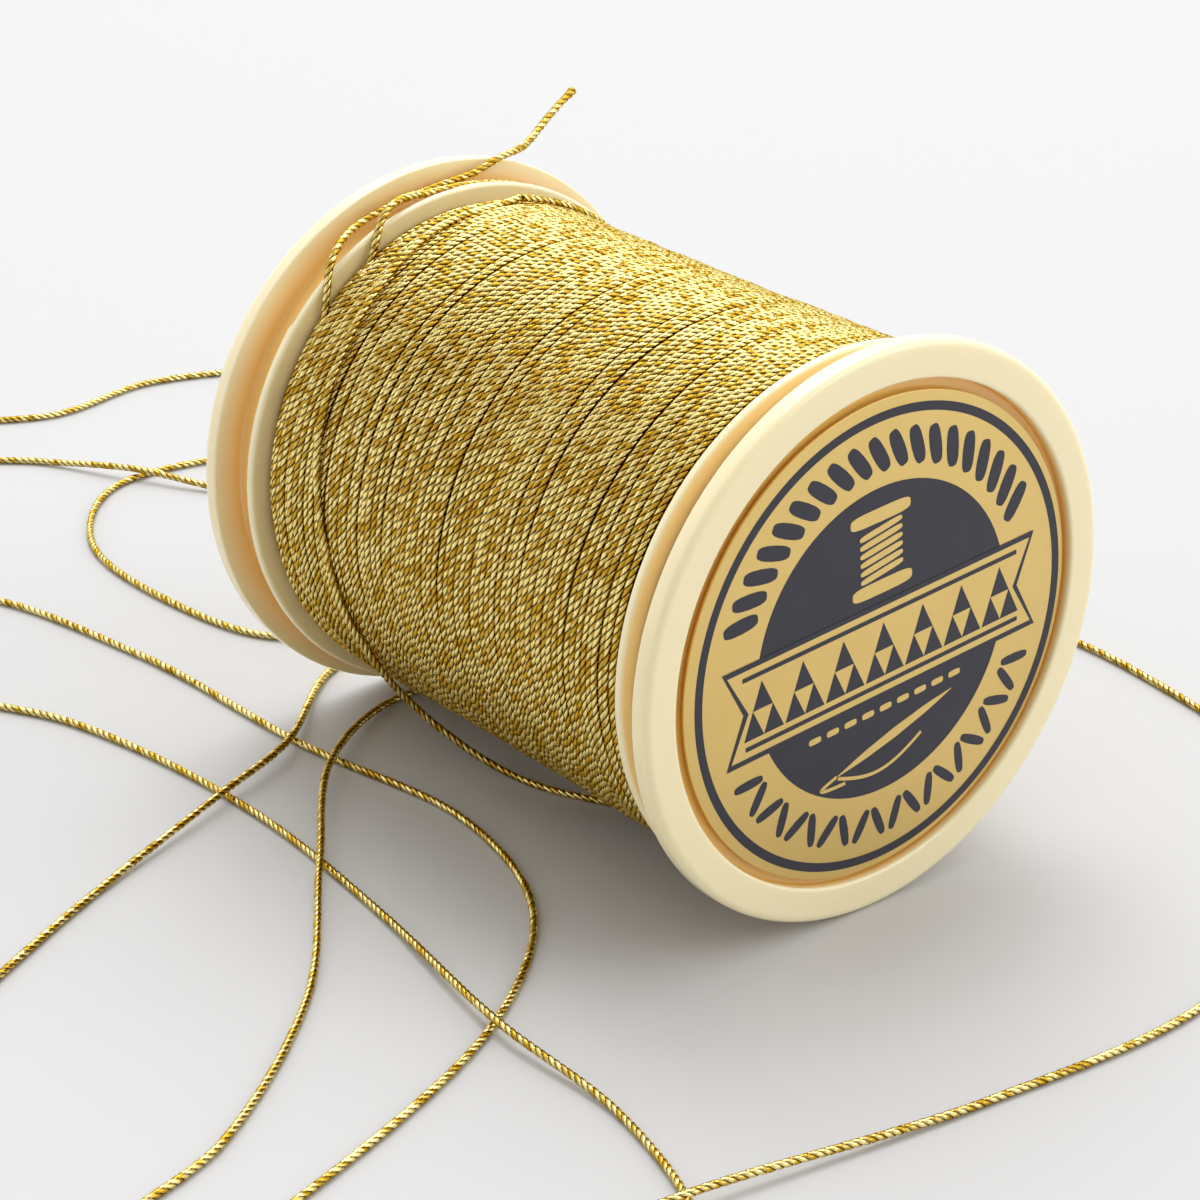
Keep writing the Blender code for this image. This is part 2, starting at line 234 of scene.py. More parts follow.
CAUGHT_TAIL_ROUTE = (
    (ON_SHOULDER + 0.05 * MM, 150.5, LIP_BACK - 1.2 * MM),
    (ON_SHOULDER, 141.0, LIP_BACK - 0.95 * MM),
    (ON_SHOULDER, 136.0, LIP_BACK - 0.6 * MM),
    (BESIDE_LIP, 131.5, LIP_BACK - 0.35 * MM),
    (LIP_EASE, 127.0, LIP_BACK - 0.05 * MM),
    (OVER_LIP, 123.0, LIP_BACK + 0.35 * MM),
    (LIP_EASE, 118.5, LIP_FACE + 0.45 * MM),
    (IN_GROOVE + 0.2 * MM, 112.0, FAR_LANE - 0.1 * MM),
    (IN_GROOVE, 102.0, FAR_LANE),
    (IN_GROOVE + 0.05 * MM, 90.0, FAR_LANE),
    (IN_GROOVE + 0.45 * MM, 81.0, FAR_LANE),
    (OVER_RIM - 0.45 * MM, 74.5, FAR_LANE + 0.12 * MM),
    (OVER_RIM, 69.5, FAR_LANE + 0.55 * MM),
    (OVER_RIM + 0.35 * MM, 65.3, HALF_LENGTH - 0.35 * MM),
    (OVER_RIM + 0.95 * MM, 62.0, HALF_LENGTH + 0.35 * MM),
    (OVER_RIM + 1.85 * MM, 59.2, HALF_LENGTH + 0.95 * MM),
    (OVER_RIM + 3.1 * MM, 56.4, HALF_LENGTH + 1.5 * MM),
    (OVER_RIM + 4.7 * MM, 53.2, HALF_LENGTH + 2.1 * MM),
)
CAUGHT_START_ROUTE = (
    (ON_SHOULDER, 124.0, LIP_BACK - 0.95 * MM),
    (ON_SHOULDER, 119.5, LIP_BACK - 0.6 * MM),
    (BESIDE_LIP, 115.5, LIP_BACK - 0.35 * MM),
    (LIP_EASE, 111.5, LIP_BACK - 0.05 * MM),
    (OVER_LIP, 107.5, LIP_BACK + 0.3 * MM),
    (LIP_EASE, 103.0, LIP_FACE + 0.15 * MM),
    (IN_GROOVE + 0.15 * MM, 96.0, NEAR_LANE),
    (IN_GROOVE, 84.0, NEAR_LANE),
    (IN_GROOVE, 66.0, NEAR_LANE),
    (IN_GROOVE, 48.0, NEAR_LANE),
    (IN_GROOVE, 30.0, NEAR_LANE),
    (IN_GROOVE, 12.0, NEAR_LANE),
    (IN_GROOVE, -6.0, NEAR_LANE),
    (IN_GROOVE, -20.0, NEAR_LANE),
    (IN_GROOVE, -30.0, NEAR_LANE),
)


def round_axis(route):
    """Route points given round the spool's axis, as points of space."""
    return [
        (r * math.cos(math.radians(turn)), along, AXIS_HEIGHT + r * math.sin(math.radians(turn)))
        for r, turn, along in route
    ]


print("the groove is", round((RIM_BACK - LIP_FACE) / MM, 2), "mm wide")

# %% [markdown]
# ## From a route to an even line
#
# A few dozen points make a smooth line when a curve is drawn through them. The centripetal
# Catmull-Rom curve passes through every point and doesn't overshoot where the points are close
# together. The line is then divided again into equal short steps, because the twist that comes
# next has to turn at an even rate.

# %% Smooth, even lines
def through(route, steps):
    """A smooth line through the route's points, kept from dipping into the table."""
    known = np.array(route, dtype=float)
    known = np.vstack([2 * known[0] - known[1], known, 2 * known[-1] - known[-2]])
    leg = np.diff(known, axis=0)
    pace = np.sqrt(np.linalg.norm(leg, axis=1))[:, None]
    slope = leg / pace
    across = (leg[:-1] + leg[1:]) / (pace[:-1] + pace[1:])
    heading = slope[:-1] + slope[1:] - across
    line = []
    for k in range(len(route) - 1):
        begin, end = known[k + 1], known[k + 2]
        leave, arrive = heading[k] * pace[k + 1], heading[k + 1] * pace[k + 1]
        for s in np.linspace(0.0, 1.0, steps, endpoint=False):
            ease = s * s * (3 - 2 * s)
            bow = s * (1 - s) * ((1 - s) * leave - s * arrive)
            line.append((1 - ease) * begin + ease * end + bow)
    line.append(known[-2])
    line = np.array(line)
    line[:, 2] = np.maximum(line[:, 2], LYING)
    return line


def along(line):
    """How far each point is along the line."""
    return np.concatenate([[0.0], np.cumsum(np.linalg.norm(np.diff(line, axis=0), axis=1))])


def evenly(line, step):
    """The same line with points about one step apart."""
    travelled = along(line)
    at = np.linspace(0.0, travelled[-1], int(travelled[-1] / step) + 2)
    return np.stack([np.interp(at, travelled, line[:, k]) for k in range(3)], axis=1)


RING_STEP = 0.14 * MM
CURVE_STEPS = 40
first_line = evenly(through(np.array(FIRST_LENGTH_ROUTE) * MM, CURVE_STEPS), RING_STEP)
second_line = evenly(through(np.array(SECOND_LENGTH_ROUTE) * MM, CURVE_STEPS), RING_STEP)
tail_line = evenly(through(round_axis(CAUGHT_TAIL_ROUTE), CURVE_STEPS), RING_STEP)
start_line = evenly(through(round_axis(CAUGHT_START_ROUTE), CURVE_STEPS), RING_STEP)
for label, line in (("first", first_line), ("second", second_line), ("tail", tail_line)):
    print(f"{label} length {1000 * along(line)[-1]:.1f} mm")

# %% [markdown]
# ## Twisted thread as a mesh
#
# Metallic thread is foil-covered plies twisted together to the right. Each ply could be a tube of
# its own, wound round the thread's line, but that takes far more faces and shows only its outer
# third. One tube with a lobe for each ply, turned steadily as it goes along, gives the same
# outside. The foil makes a lobe's top nearly flat, so each has three points near full height and
# one down in the crease. The mesh edges run along the plies, so lobes and creases stay crisp.
#
# Each point also keeps two numbers for the material: how deep it lies in a crease, for a painted
# crease shade, and how its stretch of foil catches the light, for a painted glint, which changes
# slowly along each ply.
#
# The tube gets its own flat map for baking: the long strip is cut into rows that fill a square.

# %% Twisted tube
PLIES = 3
TWIST_PITCH = 1.45 * MM
# Across one ply: three points on its rounded top and one in the crease, as shares of the diameter.
PLY_SHAPE = (0.49, 0.5, 0.49, 0.33)
PLY_TURN = (-0.31, 0.0, 0.31, 0.5)
PLY_LEAN = (-0.04, 0.0, 0.04, 0.0)
# Which point of a ply gets the painted crease shade.
PAINTED_SHADE_BY_POINT = (0.0, 0.0, 0.0, 1.0)
SECTION = np.tile(PLY_SHAPE, PLIES)
PAINTED_CREASE_SHADE = np.tile(PAINTED_SHADE_BY_POINT, PLIES)
SIDES = len(SECTION)
PLY_POINTS = len(PLY_SHAPE)
SPOKES = (np.repeat(np.arange(PLIES), PLY_POINTS) + np.tile(PLY_TURN, PLIES)) * 2 * math.pi / PLIES


def slow_noise(count, every, seed):
    """Smooth random values between -1 and 1, with a new one about every so many places."""
    source = np.random.default_rng(seed)
    knots = source.uniform(-1.0, 1.0, int(count / every) + 3)
    place = np.arange(count) / every
    base = np.floor(place).astype(int)
    ease = place - base
    ease = ease * ease * (3 - 2 * ease)
    return knots[base] * (1 - ease) + knots[base + 1] * ease


def foil_noise(count, seed):
    """For each ring and point, how its stretch of foil lies: -1 to 1, the same across a ply."""
    plies = [slow_noise(count, 3.2, 100 * seed + ply) for ply in range(PLIES)]
    return np.repeat(np.stack(plies, axis=1), PLY_POINTS, axis=1)


def travelling_frames(line):
    """Two directions square to the line at each point, turning as little as they can."""
    ahead = np.gradient(line, axis=0)
    ahead /= np.linalg.norm(ahead, axis=1)[:, None]
    start = np.array((0.0, 0.0, 1.0)) if abs(ahead[0][2]) < 0.9 else np.array((1.0, 0.0, 0.0))
    out = [start - ahead[0] * (start @ ahead[0])]
    for direction in ahead[1:]:
        carried = out[-1] - direction * (out[-1] @ direction)
        out.append(carried / np.linalg.norm(carried))
    out[0] /= np.linalg.norm(out[0])
    out = np.array(out)
    return out, np.cross(ahead, out)


def twisted_points(line, out, side, swell, foil):
    """Points of the lobed tube, ring by ring, twisting to the right along the line."""
    turn = 2 * math.pi * along(line) / TWIST_PITCH
    angle = turn[:, None] + SPOKES[None, :]
    lean = np.tile(PLY_LEAN, PLIES)[None, :] * foil
    reach = THREAD_DIAMETER * (SECTION[None, :] + lean) * swell[:, None]
    outwards = out[:, None, :] * np.cos(angle)[..., None]
    sideways = side[:, None, :] * np.sin(angle)[..., None]
    return line[:, None, :] + (outwards + sideways) * reach[..., None]


def strip_map(rings):
    """Corner positions on the bake map: the strip's faces in rows that fill a square."""
    faces = rings - 1
    rows = max(1, round(math.sqrt(faces * RING_STEP / (math.pi * THREAD_DIAMETER))))
    in_row = math.ceil(faces / rows)
    k = np.arange(faces)
    left = (k % in_row) / in_row
    right = left + 0.98 / in_row
    around = np.arange(SIDES + 1) / SIDES * 0.94 + 0.03
    low = (k // in_row)[:, None] + around[None, :-1]
    high = (k // in_row)[:, None] + around[None, 1:]
    left = np.repeat(left[:, None], SIDES, axis=1)
    right = np.repeat(right[:, None], SIDES, axis=1)
    low, high = low / rows, high / rows
    corners = np.stack([left, low, left, high, right, high, right, low], axis=-1)
    return corners.reshape(-1, 4, 2)


def tube_mesh(name, points, foil):
    """A closed tube from rings of points, with its bake map, its crease depth for painted shade and
    its foil share for painted glints.
    """
    rings = len(points)
    index = np.arange(rings * SIDES).reshape(rings, SIDES)
    beside = np.roll(index, -1, axis=1)
    quads = np.stack([index[:-1], beside[:-1], beside[1:], index[1:]], axis=-1).reshape(-1, 4)
    caps = np.concatenate([index[0][::-1], index[-1]])
    mesh = bpy.data.meshes.new(name)
    mesh.vertices.add(rings * SIDES)
    mesh.vertices.foreach_set("co", points.astype(np.float32).ravel())
    mesh.loops.add(quads.size + caps.size)
    mesh.loops.foreach_set("vertex_index", np.concatenate([quads.ravel(), caps]).astype(np.int32))
    mesh.polygons.add(len(quads) + 2)
    starts = np.concatenate([np.arange(len(quads)) * 4, quads.size + np.array([0, SIDES])])
    mesh.polygons.foreach_set("loop_start", starts.astype(np.int32))
    mesh.update(calc_edges=True)
    mesh.polygons.foreach_set("use_smooth", np.ones(len(mesh.polygons), dtype=bool))
    flat = mesh.uv_layers.new(name="OFBake")
    corners = np.zeros((len(mesh.loops), 2), np.float32)
    corners[: quads.size] = strip_map(rings).reshape(-1, 2)
    flat.data.foreach_set("uv", corners.ravel())
    # Painted shade share: the crease point is darkened in the material.
    painted_crease_shade = mesh.attributes.new("painted_crease_shade", "FLOAT", "POINT")
    painted_crease_shade.data.foreach_set("value", np.tile(PAINTED_CREASE_SHADE, rings).astype(np.float32))
    # Painted glint share for each stretch of foil.
    painted_glint = mesh.attributes.new("painted_glint", "FLOAT", "POINT")
    painted_glint.data.foreach_set("value", (0.5 + 0.5 * foil).astype(np.float32).ravel())
    return mesh


print("a ply shows every", round(TWIST_PITCH / PLIES / MM, 2), "mm along the thread")

# %% [markdown]
# ## Laying the loose threads
#
# Each free length is built and put on the spool's body. The swell makes the thread a touch fatter
# and thinner along its length, as a twisted thread is, and opens it slightly at a cut end.

# %% Loose threads
def swelling(count, seed, cut_end):
    swell = 1.0 + 0.05 * slow_noise(count, 24, seed)
    if cut_end:
        fringe = 10
        swell[-fringe:] *= np.linspace(1.0, 1.25, fringe)
    return swell


def lay_thread(name, line, seed, far_end, node):
    out, side = travelling_frames(line)
    foil = foil_noise(len(line), seed)
    points = twisted_points(line, out, side, swelling(len(line), seed, far_end == "bare"), foil)
    piece = bpy.data.objects.new(name, tube_mesh(name, points, foil))
    bpy.context.scene.collection.objects.link(piece)
    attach(piece, "root")
    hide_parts(node)
    return piece


loose_threads = [
    lay_thread("first_length_of_thread", first_line, 1, "object", "loose_thread_first"),
    lay_thread("second_length_of_thread", second_line, 2, "bare", "loose_thread_second"),
    lay_thread("tail_of_the_winding", tail_line, 3, "bare", "caught_tail"),
    lay_thread("start_of_the_winding", start_line, 4, "object", "caught_start"),
]
print("loose threads:", [len(t.data.polygons) for t in loose_threads], "faces")

# %% [markdown]
# ## The winding
#
# A full spool shows one layer of thread, laid in about seventy turns side by side. A ridged
# texture on a plain drum would look flat, because it's the thousands of small foil facets that
# sparkle. So the top layer is one real helix of the same twisted tube. Its turns wander a little
# and some sit lower than others, which gives the dark lines between them. A ridged drum below
# closes the gaps. The helix is cut into lengths, so that no one piece is too heavy.

# %% Winding surface
TURNS = 69
RINGS_A_TURN = 630
WOUND_HALF_WIDTH = LIP_BACK - 0.25 * MM
# The winding's outside: (share of the half width towards the rear, distance below the lip).
WOUND_OUTSIDE = (
    (-1.0, 0.85 * MM),
    (-0.94, 0.5 * MM),
    (-0.6, 0.6 * MM),
    (0.0, 0.68 * MM),
    (0.5, 0.68 * MM),
    (0.83, 0.6 * MM),
    (0.93, 0.62 * MM),
    (1.0, 0.95 * MM),
)


def wound_radius(place):
    """Distance from the axis to the outside of the winding, at places along the axis."""
    shares, below = zip(*WOUND_OUTSIDE)
    return LIP_RADIUS - np.interp(place / WOUND_HALF_WIDTH, shares, below)


TURN_PITCH = 2 * WOUND_HALF_WIDTH / TURNS
print(f"{TURNS} turns, {TURN_PITCH / MM:.3f} mm apart")

# %% [markdown]
# One line runs from the rear lip to the front one. The twisted tube follows it, with its frame
# always pointing away from the axis. The loose thread needs somewhere to come from, so one more
# turn carries its start on round the back and down between the others.

# %% Top layer of turns
WINDING_PIECES = 7
AXIS = np.array((0.0, 0.0, AXIS_HEIGHT))


def helix():
    """The top layer's line, with the outward direction at each point."""
    count = TURNS * RINGS_A_TURN
    turn = np.arange(count) / RINGS_A_TURN
    angle = 2 * math.pi * turn + 0.4
    place = WOUND_HALF_WIDTH - TURN_PITCH * turn
    drift = 0.09 * MM * np.sin(2 * angle + place / (2.2 * MM))
    drift += 0.05 * MM * np.sin(angle - place / (0.9 * MM))
    jitter = 0.065 * MM * slow_noise(count, RINGS_A_TURN / 3, 11)
    edge = np.clip((WOUND_HALF_WIDTH - np.abs(place)) / (1.2 * MM), 0.0, 1.0)
    place = place + edge * (drift + jitter)
    sink = 0.06 * MM * slow_noise(count, RINGS_A_TURN / 4, 12)
    sink -= 0.14 * MM * np.clip(slow_noise(count, RINGS_A_TURN / 2, 13) - 0.45, 0.0, 1.0)
    radius = wound_radius(place) - THREAD_RADIUS + sink
    out = np.stack([np.cos(angle), np.zeros(count), np.sin(angle)], axis=1)
    line = AXIS + out * radius[:, None]
    line[:, 1] = place
    return line, out


def wind():
    line, out = helix()
    side = np.tile((0.0, 1.0, 0.0), (len(line), 1))
    swell = 0.95 + 0.05 * slow_noise(len(line), 30, 14)
    foil = foil_noise(len(line), 15)
    points = twisted_points(line, out, side, swell, foil)
    cuts = np.linspace(0, len(line) - 1, WINDING_PIECES + 1).astype(int)
    pieces = []
    for k in range(WINDING_PIECES):
        name = f"winding_turns_{k + 1}"
        kept = slice(cuts[k], cuts[k + 1] + 1)
        piece = bpy.data.objects.new(name, tube_mesh(name, points[kept], foil[kept]))
        bpy.context.scene.collection.objects.link(piece)
        pieces.append(piece)
    return pieces


def last_turn():
    """The turn that the loose thread comes from: round the back, diving between the others."""
    start = first_line[0] - AXIS
    angle = math.atan2(start[2], start[0]) - np.linspace(0.01, 3.0, 300)
    share = np.linspace(0.0, 1.0, 300)
    radius = math.hypot(start[0], start[2]) - 0.75 * MM * share**0.7
    across, up = radius * np.cos(angle), radius * np.sin(angle)
    line = np.stack([across, start[1] + 0.5 * MM * share, up], axis=1)
    line = evenly(line + AXIS, RING_STEP)
    out, side = travelling_frames(line)
    foil = foil_noise(len(line), 16)
    points = twisted_points(line, out, side, np.ones(len(line)), foil)
    piece = bpy.data.objects.new("winding_last_turn", tube_mesh("winding_last_turn", points, foil))
    bpy.context.scene.collection.objects.link(piece)
    return piece


winding_turns = [*wind(), last_turn()]
print("winding:", sum(len(p.data.polygons) for p in winding_turns), "faces")

# %% [markdown]
# ## Turned plastic
#
# The spool is moulded in three pieces: a barrel with a thin lip at each end, and a cap pressed
# into each end. All three are round, so each is a profile turned about the axis with a Screw
# modifier. Moulded plastic has no knife edges, so every corner of a profile is rounded first. A
# Weighted Normal modifier then keeps the flat faces looking flat between their rounded edges.

# %% Rounded profiles
def softened(profile, default, special=None, steps=4):
    """The closed profile with each corner replaced by an arc; special gives some their own size."""
    special = special or {}
    points = [np.array(p, dtype=float) for p in profile]
    count = len(points)
    done = []
    for k, corner in enumerate(points):
        before, after = points[k - 1] - corner, points[(k + 1) % count] - corner
        room = 0.45 * min(np.linalg.norm(before), np.linalg.norm(after))
        size = min(special.get(k, default), room)
        begin = corner + before / np.linalg.norm(before) * size
        end = corner + after / np.linalg.norm(after) * size
        for t in np.linspace(0.0, 1.0, steps + 1):
            done.append(tuple((1 - t) ** 2 * begin + 2 * t * (1 - t) * corner + t * t * end))
    return done


def turned(name, profile, towards_rear, steps=192):
    """A closed profile of (radius, height) turned about the spool's axis."""
    mesh = bpy.data.meshes.new(name)
    count = len(profile)
    edges = [(k, (k + 1) % count) for k in range(count)]
    mesh.from_pydata([(r, 0.0, z) for r, z in profile], edges, [])
    piece = bpy.data.objects.new(name, mesh)
    bpy.context.scene.collection.objects.link(piece)
    piece.location = AXIS
    piece.rotation_euler = ((-1 if towards_rear else 1) * math.pi / 2, 0.0, 0.0)
    screw = piece.modifiers.new("turn", "SCREW")
    screw.axis = "Z"
    screw.angle = 2 * math.pi
    screw.steps = steps
    screw.render_steps = steps
    screw.use_merge_vertices = True
    screw.merge_threshold = 0.000002
    screw.use_smooth_shade = True
    return piece


def settle(piece):
    """Turns a piece's modifiers into its own mesh, so that it is the same in every view."""
    bpy.context.view_layer.update()
    shown = piece.evaluated_get(bpy.context.evaluated_depsgraph_get())
    piece.data = bpy.data.meshes.new_from_object(shown)
    piece.modifiers.clear()
    return piece


def flat_faces_flat(piece):
    weigh = piece.modifiers.new("flat faces", "WEIGHTED_NORMAL")
    weigh.mode = "FACE_AREA"
    weigh.weight = 90
    return piece


def mark_painted_glow(piece, painted_glow_at):
    """Keeps on each point its share of painted orange glow, from how deep in a hollow it lies by its
    radius and place on the axis.
    """
    points = np.array([piece.matrix_world @ v.co for v in piece.data.vertices]) - AXIS
    radius = np.hypot(points[:, 0], points[:, 2])
    painted_glow = piece.data.attributes.new("painted_glow", "FLOAT", "POINT")
    # Painted orange glow: this share tints the plastic where light would come through it.
    painted_glow.data.foreach_set("value", painted_glow_at(radius, np.abs(points[:, 1])).astype(np.float32))
    return piece


print("turning helpers ready")

# %% [markdown]
# The caps hold the label in a shallow recess with a rounded bright rim round it. Behind the rim
# the cap steps in, and that step is the bottom of the thread groove. A short skirt plugs the
# barrel, and a tube in the middle guides the spool pin.

# %% Caps
RECESS_RADIUS = 13.95 * MM
RECESS_DEPTH = 0.75 * MM
WEB_THICKNESS = 1.05 * MM
GROOVE_WALL = 1.2 * MM
CORE_RADIUS = 10.5 * MM
CORE_WALL = 1.2 * MM
PLASTIC_GAP = 0.3 * MM
RECESS_FLOOR = HALF_LENGTH - RECESS_DEPTH
WEB_BACK = RECESS_FLOOR - WEB_THICKNESS
RIM_RADIUS = AXIS_HEIGHT
RIM_ROUNDING = 1.05 * MM


def cap_profile():
    """Rim, recess, groove bottom, skirt and pin guide; height runs outwards."""
    pin_hole = 3.5 * MM
    guide_out = pin_hole + 1.2 * MM
    guide_end = WEB_BACK - 6.0 * MM
    skirt_out = CORE_RADIUS - CORE_WALL - PLASTIC_GAP
    skirt_in = skirt_out - 1.1 * MM
    skirt_end = LIP_FACE - 4.0 * MM
    wall_end = LIP_FACE + PLASTIC_GAP
    corners = [
        (pin_hole, RECESS_FLOOR),
        (RECESS_RADIUS, RECESS_FLOOR),
        (RECESS_RADIUS, HALF_LENGTH),
        (RIM_RADIUS, HALF_LENGTH),
        (RIM_RADIUS, RIM_BACK),
        (GROOVE_RADIUS, RIM_BACK),
        (GROOVE_RADIUS, wall_end),
        (GROOVE_RADIUS - GROOVE_WALL, wall_end),
        (GROOVE_RADIUS - GROOVE_WALL, WEB_BACK),
        (skirt_out, WEB_BACK),
        (skirt_out, skirt_end),
        (skirt_in, skirt_end),
        (skirt_in, WEB_BACK),
        (guide_out, WEB_BACK),
        (guide_out, guide_end),
        (pin_hole, guide_end),
    ]
    edges = {1: 0.2 * MM, 2: 0.22 * MM, 3: RIM_ROUNDING, 4: 0.14 * MM, 5: 0.2 * MM}
    return softened(corners, 0.12 * MM, edges, steps=8)


def cap_painted_glow(radius, place):
    """Painted orange glow: deep in the recess's corner and at the bottom of the groove."""
    in_recess = np.clip((RECESS_RADIUS + 0.12 * MM - radius) / (0.1 * MM), 0, 1)
    below_rim = np.clip((HALF_LENGTH - 0.1 * MM - place) / (0.45 * MM), 0, 1)
    in_groove = np.clip((FLANGE_RADIUS - 0.3 * MM - radius) / (1.2 * MM), 0, 1)
    behind_rim = (place < RIM_BACK + 0.1 * MM) * 0.8
    return np.maximum(in_recess * below_rim, in_groove * behind_rim)


caps = [
    flat_faces_flat(settle(turned("front_end_cap", cap_profile(), False))),
    flat_faces_flat(settle(turned("rear_end_cap", cap_profile(), True))),
]
bpy.context.view_layer.update()
for cap, node in zip(caps, ("front_cap", "rear_cap")):
    mark_painted_glow(cap, cap_painted_glow)
    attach(cap, "root")
    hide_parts(node)
print("caps:", [len(c.data.polygons) for c in caps], "faces")

# %% [markdown]
# The barrel's rear lip has a shaved place where the thread's end is led into the groove. It is
# cut with a Boolean, as a mould-maker would mill it: one straight chord off the lip's groove side.

# %% Barrel
ENTRY_ANGLE = math.radians(116.0)
ENTRY_HALF_WIDTH = math.radians(26.0)
ENTRY_DEPTH = 0.25 * MM


def barrel_profile():
    half = [
        (CORE_RADIUS - CORE_WALL, LIP_FACE),
        (LIP_RADIUS, LIP_FACE),
        (LIP_RADIUS, LIP_BACK),
        (CORE_RADIUS, LIP_BACK),
    ]
    whole = half + [(r, -z) for r, z in reversed(half)]
    return softened(whole, 0.24 * MM, {0: 0.1 * MM, 7: 0.1 * MM}, steps=5)


def shave_entry(barrel):
    inner = LIP_RADIUS * math.cos(ENTRY_HALF_WIDTH)
    outer = LIP_RADIUS + 0.3 * MM
    low, high = LIP_FACE - ENTRY_DEPTH, LIP_FACE + 0.5 * MM
    bpy.ops.mesh.primitive_cube_add(size=1.0)
    block = bpy.context.object
    reach = (inner + outer) / 2
    block.location = (
        reach * math.cos(ENTRY_ANGLE),
        (low + high) / 2,
        AXIS_HEIGHT + reach * math.sin(ENTRY_ANGLE),
    )
    block.rotation_euler = (0.0, -ENTRY_ANGLE, 0.0)
    block.scale = (outer - inner, high - low, 2 * LIP_RADIUS)
    cut = barrel.modifiers.new("thread entry", "BOOLEAN")
    cut.operation = "DIFFERENCE"
    cut.solver = "EXACT"
    cut.object = block
    settle(barrel)
    bpy.data.objects.remove(block)
    return barrel


def barrel_painted_glow(radius, place):
    """Painted orange glow down each lip, towards the groove bottom and the core."""
    return np.clip((LIP_RADIUS - 0.1 * MM - radius) / (1.6 * MM), 0, 1) * 0.8


barrel = flat_faces_flat(shave_entry(settle(turned("moulded_barrel", barrel_profile(), True))))
mark_painted_glow(barrel, barrel_painted_glow)
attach(barrel, "root")
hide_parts("spool_barrel")
print("barrel:", len(barrel.data.polygons), "faces")

# %% [markdown]
# The lower layers of thread only show as a dark gold shadow between the top turns. A drum with a
# ridge between each two turns is enough for them, and its colour is painted nearly all in the crease
# shade.

# %% Lower layers
def lower_layers_profile():
    inner = CORE_RADIUS + THREAD_GAP
    end = WOUND_HALF_WIDTH
    outside = []
    points_a_turn = 6
    for k in range(TURNS * points_a_turn + 1):
        place = end - 2 * end * k / (TURNS * points_a_turn)
        ridge = 0.06 * MM * math.cos(2 * math.pi * k / points_a_turn)
        outside.append((float(wound_radius(place)) - 0.42 * MM + ridge, place))
    return [(inner, end), *outside, (inner, -end)]


lower_layers = settle(turned("winding_lower_layers", lower_layers_profile(), True, steps=96))
# Painted shade: the lower layers get nine tenths of the crease shade all over.
all_painted_shade = lower_layers.data.attributes.new("painted_crease_shade", "FLOAT", "POINT")
all_painted_shade.data.foreach_set("value", np.full(len(lower_layers.data.vertices), 0.9, np.float32))
for piece in (lower_layers, *winding_turns):
    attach(piece, "root")
    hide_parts("thread_winding")
print("lower layers:", len(lower_layers.data.polygons), "faces")

# %% [markdown]
# ## Labels
#
# Each label is a disc of gold-coated paper, glued a little off centre, with its print a little off
# centre again, as cheap labels are. The print is flat outlines with a hair's thickness: crisp at
# any distance, where a painted texture would blur. The design is a plain haberdasher's one: rings
# of stitches round a dark disc with a patchwork ribbon, a small spool and a threaded needle. The
# print goes down in three coats, each 0.012 mm above the last: dark, gold over it, and fine dark.

# %% Label paper
LABEL_RADIUS = true_radius("front_label")
LABEL_SHIFT = (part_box("front_label")[0].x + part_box("front_label")[1].x) / 2
LABEL_FACE = -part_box("front_label")[0].y
LABEL_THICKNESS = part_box("front_label")[1].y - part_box("front_label")[0].y
COAT = 0.012 * MM
PRINT_TURN = math.radians(4.5)
PRINT_SHIFT = np.array((0.4, -0.35)) * MM


def label_paper(name, towards_rear):
    profile = [
        (0.02 * MM, LABEL_FACE),
        (LABEL_RADIUS, LABEL_FACE),
        (LABEL_RADIUS, LABEL_FACE - LABEL_THICKNESS),
        (0.02 * MM, LABEL_FACE - LABEL_THICKNESS),
    ]
    paper = settle(turned(name, softened(profile, 0.04 * MM, steps=3), towards_rear, steps=160))
    paper.location = AXIS + np.array((LABEL_SHIFT, 0.0, -LABEL_SHIFT))
    return paper


papers = [label_paper("front_label_paper", False), label_paper("rear_label_paper", True)]
print(f"label {2000 * LABEL_RADIUS:.1f} mm across")

# %% [markdown]
# The print is drawn in millimetres from the label's centre. Each outline becomes a plate of its
# own, and no two plates of one coat overlap, because two faces in one plane would flicker.

# %% Outlines for the print
def circle(radius, centre=(0.0, 0.0), steps=120):
    turn = np.linspace(0.0, 2 * math.pi, steps, endpoint=False)
    return [(centre[0] + radius * math.cos(a), centre[1] + radius * math.sin(a)) for a in turn]


def bar(centre, length, width, angle, taper=1.0):
    """A straight stitch with rounded ends; its ends are taper times as wide as its middle."""
    outline = []
    for turn in np.linspace(0.0, 2 * math.pi, 24, endpoint=False):
        u = math.copysign(abs(math.cos(turn)) ** 0.5, math.cos(turn)) * length / 2
        v = math.copysign(abs(math.sin(turn)) ** 0.5, math.sin(turn)) * width / 2
        v *= 1 - (1 - taper) * (2 * abs(u) / length) ** 2
        outline.append((
            centre[0] + u * math.cos(angle) - v * math.sin(angle),
            centre[1] + u * math.sin(angle) + v * math.cos(angle),
        ))
    return outline


def on_ring(radius, degrees):
    return radius * math.cos(math.radians(degrees)), radius * math.sin(math.radians(degrees))


def box(low, high):
    return [low, (high[0], low[1]), high, (low[0], high[1])]


def plate(shape, outline):
    """A thin flat plate of one outline, added to a bmesh; a coat of ink is many of them."""
    top = [shape.verts.new((u * MM, v * MM, COAT / 2)) for u, v in outline]
    bottom = [shape.verts.new((u * MM, v * MM, -COAT / 2)) for u, v in outline]
    shape.faces.new(top)
    shape.faces.new(bottom[::-1])
    for k in range(len(outline)):
        shape.faces.new((top[k - 1], bottom[k - 1], bottom[k], top[k]))


